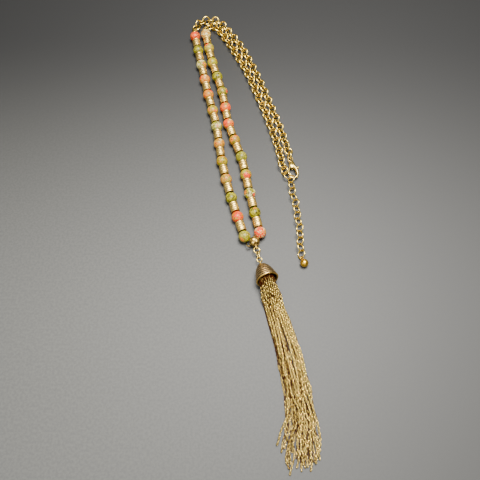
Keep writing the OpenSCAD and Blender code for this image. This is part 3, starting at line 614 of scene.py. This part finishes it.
def capShape():
    rimMid, edge = cap["size"] / 2 - cap["rim"] / 2, cap["height"] - cap["rim"] / 2
    # the shades make the grooves between the rings darker (tarnish and painted shade) and keep the crests
    # lighter; the inside and the hole at the top are dark as painted shade
    outline, shades = [(cap["hole"] / 2, 0.25), (cap["hole"] / 2 + 0.1, 0.0)], [1.0, 0.5]
    for share in np.linspace(0.0, 0.93, cap["rows"]):
        wave = 0.0
        if 0.05 < share < 0.92:
            wave = abs(math.sin(math.pi * cap["rings"] * (share - 0.05) / 0.87)) ** 0.6
        ring = cap["ringHeight"] * wave
        outline.append((rimMid * np.interp(share, bell[:, 0], bell[:, 1]) - 0.12 + ring, share * edge))
        shades.append(1.1 - 1.3 * wave**2)
    for a in np.radians(np.arange(-105, 130, 15)):
        outline.append((rimMid + cap["rim"] / 2 * math.cos(a), edge + cap["rim"] / 2 * math.sin(a)))
        shades.append(0.0)
    for share in np.linspace(0.96, 0.1, 30):
        outline.append((rimMid * np.interp(share, bell[:, 0], bell[:, 1]) - cap["wall"], share * edge))
        shades.append(0.9)
    outline.append((cap["hole"] / 2, cap["wall"] + 0.2))
    shades = np.repeat(np.clip([*shades, 1.0], -0.3, 1), cap["turns"])

    def relief(angle, h, r):
        # the fine rings are notched, as if wound from twisted wire
        if h > 0.93 * edge or h < 0.05 * edge:
            return 0 * angle
        return 0.012 * np.cos(46 * angle + 5 * h) * (r > 1.2)

    return (*skin(lathe(outline, cap["turns"], relief), closed=True), shades)


makePiece("ringedTasselCap", [placed(capShape(), capTop, capSide, capAxis)], metal["capBrass"],
          ["tassel_cap"])
capRim = ringShape(cap["size"], cap["rim"] + 0.1, 72, 16)
capRim = placed(capRim, capTop + (cap["height"] - cap["rim"] / 2) * capAxis, capSide, capAxis)
makePiece("rolledCapRim", [capRim], metal["rimBrass"])
print("cap done")

# Tassel: fine chain, one row for each strand: its angle and share of the radius in the cap, then how far
# to the side it lies where it comes down, its layer, its side halfway and at its tip, and its reach
tassel = {"reach": 85, "width": 10.5, "strand": 1.1, "head": 5.6, "headTop": 2.4, "headLength": 3.6,
          "mouthGap": 0.45, "down": 0.2, "spread": 1.16, "lowGapShare": 0.35,
          "pitch": 1.04, "linkLength": 1.52, "linkWidth": 1.1, "linkWire": 0.38,
          "rounds": 90, "hold": 0.05, "sink": 0.035, "part": 0.3, "clear": 0.08,
          "route": [[13.4, -55], [17.1, -68.5], [20.9, -84], [23.4, -99], [24, -110], [23.4, -128]]}
strandRows = [
    [192, 1.0, -0.95, 0.0, -0.92, -1.30, 0.90], [206, 0.95, -0.75, 0.0, -0.80, -1.00, 0.88],
    [220, 1.0, -0.55, 0.0, -0.55, -0.75, 0.935], [236, 0.95, -0.33, 0.0, -0.40, -0.70, 0.99],
    [252, 1.0, -0.12, 0.0, -0.10, -0.20, 0.92], [268, 0.95, 0.10, 0.0, 0.15, 0.02, 0.97],
    [284, 1.0, 0.30, 0.0, 0.30, 0.35, 0.95], [300, 0.95, 0.52, 0.0, 0.45, 0.60, 0.967],
    [316, 1.0, 0.74, 0.0, 0.75, 0.78, 0.935], [332, 0.95, 0.95, 0.0, 0.95, 1.00, 0.93],
    [178, 0.95, -0.86, 0.95, -0.70, -0.95, 0.95], [200, 0.6, -0.64, 0.95, -0.65, -0.30, 0.90],
    [225, 0.6, -0.43, 0.95, -0.20, -0.85, 0.97], [250, 0.6, -0.22, 0.95, -0.35, 0.10, 0.95],
    [275, 0.6, 0.00, 0.95, 0.05, -0.40, 0.91], [306, 0.6, 0.21, 0.95, 0.35, 0.10, 0.98],
    [325, 0.6, 0.42, 0.95, 0.25, 0.60, 0.92], [348, 0.7, 0.63, 0.95, 0.65, 0.45, 0.955],
    [350, 1.0, 0.84, 0.95, 0.85, 1.32, 0.89], [164, 0.8, -0.70, 1.9, -0.50, -1.50, 0.86],
    [150, 0.5, -0.40, 1.9, -0.50, 0.05, 0.94], [110, 0.3, -0.10, 1.9, -0.20, 0.45, 0.90],
    [70, 0.25, 0.16, 1.9, 0.10, -0.25, 0.96], [30, 0.4, 0.40, 1.9, 0.50, 0.90, 0.94],
    [10, 0.6, 0.66, 1.9, 0.60, 1.15, 0.87]]
# Gaps between strands: the side that each opens at, where along the tassel it starts and ends, and how
# wide it is, all as shares
strandGaps = [[-0.16, -0.1, 0.24, 0.2], [0.14, -0.1, 0.2, 0.12], [0.12, 0.22, 0.6, 0.42],
              [-0.3, 0.4, 0.7, 0.22], [0.55, 0.5, 0.75, 0.2], [-0.6, 0.62, 0.9, 0.3],
              [0.0, 0.66, 0.88, 0.3], [0.3, 0.78, 1.0, 0.26], [-0.35, 0.8, 1.0, 0.24],
              [0.85, 0.74, 0.98, 0.34]]
mouth = capPoint(cap["height"], 0, 0)
mouthRadius = cap["size"] / 2 - cap["rim"] - tassel["strand"] / 2 - tassel["mouthGap"]
run = smoothPath([mouth[:2]] + [np.array(p) + layAt[:2] for p in tassel["route"]], 10)
runLength = np.concatenate([[0], np.cumsum(np.linalg.norm(np.diff(run, axis=0), axis=1))])


def onRun(s):
    beyond = max(0, s - runLength[-1]) * unit(run[-1] - run[-2])
    return np.array([np.interp(s, runLength, run[:, k]) for k in range(2)]) + beyond


def onTable(share, side, layer):
    s = share * tassel["reach"]
    way = unit(onRun(s + 0.3) - onRun(s - 0.3))
    x, y = onRun(s) + side * tassel["width"] / 2 * np.array([-way[1], way[0]])
    return np.array([x, y, tassel["strand"] * (0.5 + layer) + 0.02])


def sideAt(row, share):
    down, layer, halfway, tip, reach = row[2:]
    side = np.interp(share, [tassel["down"], 0.5, 0.7, reach],
                     [down, halfway, 0.6 * halfway + 0.4 * tip, tip * tassel["spread"]])
    push = 0.0
    for beside, start, end, wide in strandGaps:
        parted = max(0.0, math.sin(math.pi * min(max((share - start) / (end - start), 0), 1)))
        parted *= 1.0 if layer else tassel["lowGapShare"]
        push += math.copysign(wide / 2 * parted * math.exp(-1.2 * abs(down - beside)), down - beside)
    return (side + push) * np.interp(share, [0.15, 0.4], [0.84, 1.0])


def strandPath(row, rng):
    angle, share, _, layer, _, _, reach = row
    start = capPoint(tassel["headTop"] + 0.45 * tassel["head"],
                     share * (tassel["head"] - tassel["strand"]) * 0.4, angle)
    out = capPoint(cap["height"] - 0.6, share * mouthRadius, angle)
    out = out - 0.2 * mouthRadius * share * max(0, math.cos(math.radians(angle))) * capSide
    down = onTable(tassel["down"], sideAt(row, tassel["down"]), layer)
    points = [start, out, out + (down - out) * 0.25, out + (down - out) * 0.6, down]
    points += [onTable(s, sideAt(row, s), layer * np.interp(s, [0.5, 1], [1, 0.6]))
               for s in (0.28, 0.36, 0.44, 0.52, 0.6, 0.68, 0.76, 0.84)]
    points.append(onTable(reach, sideAt(row, reach), layer * 0.45))
    path = evenPath(smoothPath(points, 8), tassel["pitch"])
    along = np.arange(len(path)) * tassel["pitch"]
    loose = np.clip((along / along[-1] - 0.55) / 0.35, 0, 1)
    # slow waves all along the strand, and shorter ones where its end lies loose
    waves = [(0.3, rng.uniform(24, 36)), (0.75 * loose, rng.uniform(15, 24)),
             (0.4 * loose, rng.uniform(8, 12))]
    for size, wave in waves:
        phase = 2 * np.pi * along / wave + rng.uniform(0, 2 * np.pi)
        swing = size * np.clip((along - 14) / 12, 0, 1) * np.sin(phase)
        path[:, 0] += swing * 0.97
        path[:, 1] += swing * 0.2
    return path


def settle(strands):
    # the strands push each other apart, keep their length and sink onto the table and on each other
    owner = np.repeat(np.arange(len(strands)), [len(s) for s in strands])
    along = np.concatenate([np.arange(len(s)) for s in strands]) * tassel["pitch"]
    free = np.clip((along - 8) / 7, 0, 1)[:, None]
    home = np.concatenate(strands)
    spot = home.copy()
    pairs = np.flatnonzero(owner[1:] == owner[:-1])
    for _ in range(tassel["rounds"]):
        spot += (home - spot) * tassel["hold"] * free
        spot[:, 2] -= tassel["sink"] * free[:, 0]
        for first in (pairs[pairs % 2 == 0], pairs[pairs % 2 == 1]):
            gap = spot[first + 1] - spot[first]
            size = np.linalg.norm(gap, axis=1, keepdims=True)
            move = gap * (size - tassel["pitch"]) / size / 2
            spot[first] += move * free[first]
            spot[first + 1] -= move * free[first + 1]
        order = np.argsort(spot[:, 1], kind="stable")
        lined, whose, moves = spot[order], owner[order], np.zeros_like(spot)
        for k in range(1, 40):
            gap = lined[k:] - lined[:-k]
            size = np.maximum(np.linalg.norm(gap, axis=1), 1e-6)
            meet = (size < tassel["strand"]) & (whose[k:] != whose[:-k])
            push = np.where(meet, (tassel["strand"] - size) / size, 0)
            moves[k:] += gap * push[:, None] * tassel["part"]
            moves[:-k] -= gap * push[:, None] * tassel["part"]
        spot[order] += moves * free[order]
        spot[:, 2] = np.maximum(spot[:, 2], tassel["strand"] / 2 + tassel["clear"])
    strands = [spot[owner == k] for k in range(len(strands))]
    for s in strands:
        s[1:-1] = (s[:-2] + 2 * s[1:-1] + s[2:]) / 4
    return strands


def linkShade(off, point, ahead, side, toneAndShade):
    # painted shade: dark at a link's sides, ends and underside, under other strands and in the mouth of the
    # cap; the strand's own random tone is added to it
    near = np.abs(every[:, :2] - point[:2]).max(1) < 0.8
    buried = np.clip((every[near, 2].max() - point[2]) / 0.9, 0, 1)
    shade = toneAndShade + 0.6 * buried + 0.9 * np.clip((np.abs(off @ side) - 0.18) / 0.22, 0, 1)
    shade += 0.75 * np.clip((np.abs(off @ ahead) - 0.42) / 0.3, 0, 1) + 0.5 * np.clip(-off[:, 2] / 0.4, 0, 1)
    shade += 0.8 * np.clip((2.5 - (point - mouth) @ capAxis) / 2.5, 0, 1)
    return np.clip(shade, 0, 1)


rng = np.random.default_rng(5)
strands = settle([strandPath(row, rng) for row in strandRows])
every = np.concatenate(strands)
fineLink = ringShape(tassel["linkWidth"], tassel["linkWire"], 14, 6, length=tassel["linkLength"])
groups = {"tasselStrandsLow": range(0, 9), "tasselStrandsMiddle": range(9, 18),
          "tasselStrandsTop": range(18, 25)}
for name, members in groups.items():
    shapes = []
    for k in members:
        path = strands[k]
        twist, toneAndShade = rng.uniform(0, 2 * np.pi), rng.uniform(-0.25, 0.25)
        for i, point in enumerate(path):
            ahead = unit(path[min(i + 1, len(path) - 1)] - path[max(i - 1, 0)])
            side = unit(np.cross(ahead, upward))
            roll = math.radians(45 if i % 2 else -45) + 0.35 * math.sin(i * 0.13 + twist)
            facing = math.cos(roll) * np.cross(side, ahead) + math.sin(roll) * side
            link = placed(fineLink, point, ahead, facing)
            shapes.append((*link, linkShade(link[0] - point, point, ahead, side, toneAndShade)))
    makePiece(name, shapes, metal["tasselGold"], ["tassel"])
headEnd = tassel["headTop"] + tassel["headLength"]
headPath = [capPoint(depth, 0, 0) for depth in np.linspace(tassel["headTop"], headEnd, 9)]
headWidth = tassel["head"] * 0.4 * np.sqrt(1 - np.linspace(-0.98, 0.98, 9) ** 4)
makePiece("tasselHead", [tube(headPath, headWidth, 28)], metal["capBrass"], ["tassel"])
print("tassel done")

# Clasp, drawn flat about its eye: x towards the spine, y towards the eye's side
clasp = {"at": np.array([24.8, 23.5, 2.2]) + layAt, "turn": 4, "thick": 2.3, "hook": 1.0, "eye": 3.1,
         "eyeHole": 1.8, "hookMid": (0.4, -8.9), "hookRadius": 2.4, "spineRadius": 7.75,
         "pivot": (0.35, -3.9), "hub": 1.1, "pin": 0.8, "pinHead": 0.1, "pinPlay": 0.05, "lever": 0.9,
         "arm": 0.7, "slot": 1.1, "slotAlong": (-6, -2.6), "knobAt": (3.35, -5.3), "knob": 1.2,
         "grain": 0.06}


def arcPath(mid, radius, start, sweep, steps):
    a = np.radians(np.linspace(start, start + sweep, steps))
    return np.array([mid[0] + radius * np.cos(a), mid[1] + radius * np.sin(a), 0 * a]).T


def squeezed(shape, shares):
    return shape[0] * np.array(shares), shape[1]


def cast(name, shapes, cutters, grain, material, replaced, body):
    # melts the shapes into one casting, cuts the slot and softens the edges
    casting = makePiece(name, shapes, material)
    steps = [("REMESH", {"mode": "VOXEL", "voxel_size": grain * mm})]
    blocks = []
    for k, cutter in enumerate(cutters):
        mesh = bpy.data.meshes.new(f"{name}Cutter{k}")
        mesh.from_pydata((cutter[0] * mm).tolist(), [], cutter[1])
        block = bpy.data.objects.new(f"{name}Cutter{k}", mesh)
        bpy.context.scene.collection.objects.link(block)
        blocks.append(block)
        steps.append(("BOOLEAN", {"operation": "DIFFERENCE", "object": block, "solver": "EXACT"}))
    steps += [("REMESH", {"mode": "VOXEL", "voxel_size": grain * 0.9 * mm}),
              ("SMOOTH", {"factor": 0.5, "iterations": 5}), ("DECIMATE", {"ratio": 0.6})]
    for kind, settings in steps:
        modifier = casting.modifiers.new(kind.title(), kind)
        for key, value in settings.items():
            setattr(modifier, key, value)
    view = bpy.context.evaluated_depsgraph_get()
    mesh = bpy.data.meshes.new_from_object(casting.evaluated_get(view))
    casting.modifiers.clear()
    casting.data = mesh
    mesh.shade_smooth()
    for block in blocks:
        bpy.data.objects.remove(block)
    casting.parent = None
    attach(casting, body)
    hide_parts(*replaced)


def toClasp(shape):
    return placed(shape, clasp["at"], heading(clasp["turn"]), upward)


def box(low, high):
    ends = list(zip(low, high))
    corners = np.array([[x, y, z] for x in ends[0] for y in ends[1] for z in ends[2]])
    return corners, [[0, 1, 3, 2], [4, 6, 7, 5], [0, 4, 5, 1], [2, 3, 7, 6], [0, 2, 6, 4], [1, 5, 7, 3]]


hookMid, hook, pivot = clasp["hookMid"], clasp["hook"], np.array([*clasp["pivot"], 0])
spineMid = (hookMid[0] + clasp["hookRadius"] - clasp["spineRadius"], hookMid[1])
spine = arcPath(spineMid, clasp["spineRadius"], 36, -36, 26)
hookArc = arcPath(hookMid, clasp["hookRadius"], 360, -164, 34)[1:]
sweepLine = np.concatenate([spine, hookArc])
share = np.linspace(0, 1, len(sweepLine))
widths = np.array([hook / 2 * np.interp(share, [0, 0.3, 0.5, 0.9, 1], [2.0, 1.5, 1.15, 1.0, 0.7]),
                   hook / 2 * np.interp(share, [0, 0.25, 0.45, 0.9, 1], [2.1, 1.8, 1.3, 1.0, 0.7])]).T
# the belly around the pivot: half width at each place along the clasp
bellyLine = smoothPath([[-5.9, 0.7], [-5.2, 1.35], [-4.3, 1.85], [-3.3, 1.9], [-2.3, 1.55], [-1.4, 1.1],
                        [-0.8, 0.8]], 4)
angle = np.arange(40) * 2 * np.pi / 40
belly = skin(np.array([np.array([r * np.cos(angle), 0 * angle + h, -r * 0.575 * np.sin(angle)]).T
                       for h, r in bellyLine]))
belly = moved(belly, [pivot[0], 0, 0])
eyeRing = squeezed(ringShape(clasp["eye"], (clasp["eye"] - clasp["eyeHole"]) / 2, 48, 16), (1, 1, 1.5))
slot = box((pivot[0] - 3, clasp["slotAlong"][0], -clasp["slot"] / 2),
           (pivot[0] + 4, clasp["slotAlong"][1], clasp["slot"] / 2))
hookShape = tube(sweepLine, widths, 18)
cast("claspCasting", [toClasp(shape) for shape in (eyeRing, belly, hookShape)], [toClasp(slot)],
     clasp["grain"], metal["claspGold"], ["clasp_body"], "necklace")
pinEnd = clasp["thick"] / 2 + clasp["pinHead"]
pin = moved(tube([[0, 0, -pinEnd], [0, 0, pinEnd]], clasp["pin"] / 2, 20), pivot)
makePiece("claspPin", [toClasp(pin)], metal["claspGold"])
gateMid = (hookMid[0] - clasp["hookRadius"] + clasp["spineRadius"], hookMid[1])
gate = arcPath(gateMid, clasp["spineRadius"], 139, 41.7, 30)
gateWidth = clasp["lever"] / 2 * np.interp(np.linspace(0, 1, 30), [0, 0.2, 0.9, 1], [1, 1, 0.95, 0.75])
hub = moved(tube([[0, 0, -clasp["lever"] / 2], [0, 0, clasp["lever"] / 2]], clasp["hub"], 32), pivot)
knobAt, knobRadius = np.array([*clasp["knobAt"], 0]), clasp["knob"] / 2
arm = tube(np.linspace(pivot, knobAt, 8), [[clasp["arm"] / 2, clasp["lever"] / 2]] * 8, 14)
knob = skin(np.array([knobRadius * np.array([math.sin(t) * np.cos(angle), math.sin(t) * np.sin(angle),
                                             0 * angle - math.cos(t)]).T
                      for t in np.linspace(0, np.pi, 24)[1:-1]]))
bore = moved(tube([[0, 0, -2], [0, 0, 2]], clasp["pin"] / 2 + clasp["pinPlay"], 32), pivot)
leverShapes = [tube(gate, gateWidth, 16), hub, arm, moved(knob, knobAt)]
cast("claspLeverCasting", [toClasp(shape) for shape in leverShapes], [toClasp(bore)],
     clasp["grain"] * 0.75, metal["claspGold"], ["clasp_lever"], "clasp_lever")
print("clasp done")

# The eye pin and the end weight stay as they come, with a finish of their own
for node, material in (("cap_eye", "chainGold"), ("extender_ball", "ballGold")):
    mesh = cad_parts[node].data
    mesh.materials.clear()
    mesh.materials.append(metal[material])

# Table, lights and camera, in metres
table = {"size": 4.0, "colour": (80, 80, 76), "dark": (71, 71, 68), "right": (55, 55, 53),
         "far": (20, 20, 19), "acrossFrom": -0.1, "acrossTo": 0.12, "awayFrom": -0.08, "awayTo": 0.12}
floor = bpy.data.materials.new("greyTable")
floor.use_nodes = True
make = Nodes(floor.node_tree)
shader = floor.node_tree.nodes["Principled BSDF"]
place = make.add("ShaderNodeTexCoord").outputs["Object"]
cloth = make.noise(place, 900.0, 4.0, 0.6).outputs[0]
base = make.mix(make.span(cloth, 0.35, 0.65), tone(*table["dark"]), tone(*table["colour"]))
# painted shade: the table's colour darkens towards the right and much more towards the back, for how the
# light falls off
axes = make.add("ShaderNodeSeparateXYZ", {0: place}).outputs
shadeToRight = make.span(axes["X"], table["acrossFrom"], table["acrossTo"])
shadeToFar = make.span(axes["Y"], table["awayFrom"], table["awayTo"])
base = make.mix(shadeToFar, make.mix(shadeToRight, base, tone(*table["right"])), tone(*table["far"]))
floor.node_tree.links.new(base, shader.inputs["Base Color"])
shader.inputs["Roughness"].default_value = 0.6
half = table["size"] / 2
mesh = bpy.data.meshes.new("greyTable")
corners = [(-half, -half, 0), (half, -half, 0), (half, half, 0), (-half, half, 0)]
mesh.from_pydata(corners, [], [(0, 1, 2, 3)])
mesh.materials.append(floor)
surface = bpy.data.objects.new("greyTable", mesh)
bpy.context.scene.collection.objects.link(surface)

lights = {
    "softWindow": dict(at=(0.06, 0.08, 0.56), size=0.3, power=13.5, warmth=(1.0, 0.98, 0.95)),
    "leftFill": dict(at=(-0.4, -0.25, 0.45), size=0.6, power=2.0, warmth=(0.95, 0.97, 1.0)),
    "frontFill": dict(at=(0.1, -0.8, 0.5), size=0.6, power=1.4, warmth=(1.0, 0.98, 0.96)),
}
for name, light in lights.items():
    lamp = bpy.data.lights.new(name, "AREA")
    lamp.size, lamp.energy, lamp.color = light["size"], light["power"], light["warmth"]
    holder = bpy.data.objects.new(name, lamp)
    holder.location = light["at"]
    holder.rotation_euler = (-Vector(light["at"])).to_track_quat("-Z", "Y").to_euler()
    bpy.context.scene.collection.objects.link(holder)
studio = {"colour": (0.9, 0.93, 1.0, 1), "strength": 0.09}
world = bpy.data.worlds.new("studio")
world.use_nodes = True
world.node_tree.nodes["Background"].inputs["Color"].default_value = studio["colour"]
world.node_tree.nodes["Background"].inputs["Strength"].default_value = studio["strength"]
bpy.context.scene.world = world

photoView = {"at": (-0.00223, -0.12525, 0.226), "tilt": 24.6, "lens": 37.5, "sensor": 36.0, "clip": 0.01}
lens = bpy.data.cameras.new("photoView")
lens.lens, lens.sensor_width, lens.clip_start = photoView["lens"], photoView["sensor"], photoView["clip"]
camera = bpy.data.objects.new("photoView", lens)
camera.location = photoView["at"]
camera.rotation_euler = (math.radians(photoView["tilt"]), 0, 0)
bpy.context.scene.collection.objects.link(camera)
bpy.context.scene.camera = camera
print("table, lights and camera done")
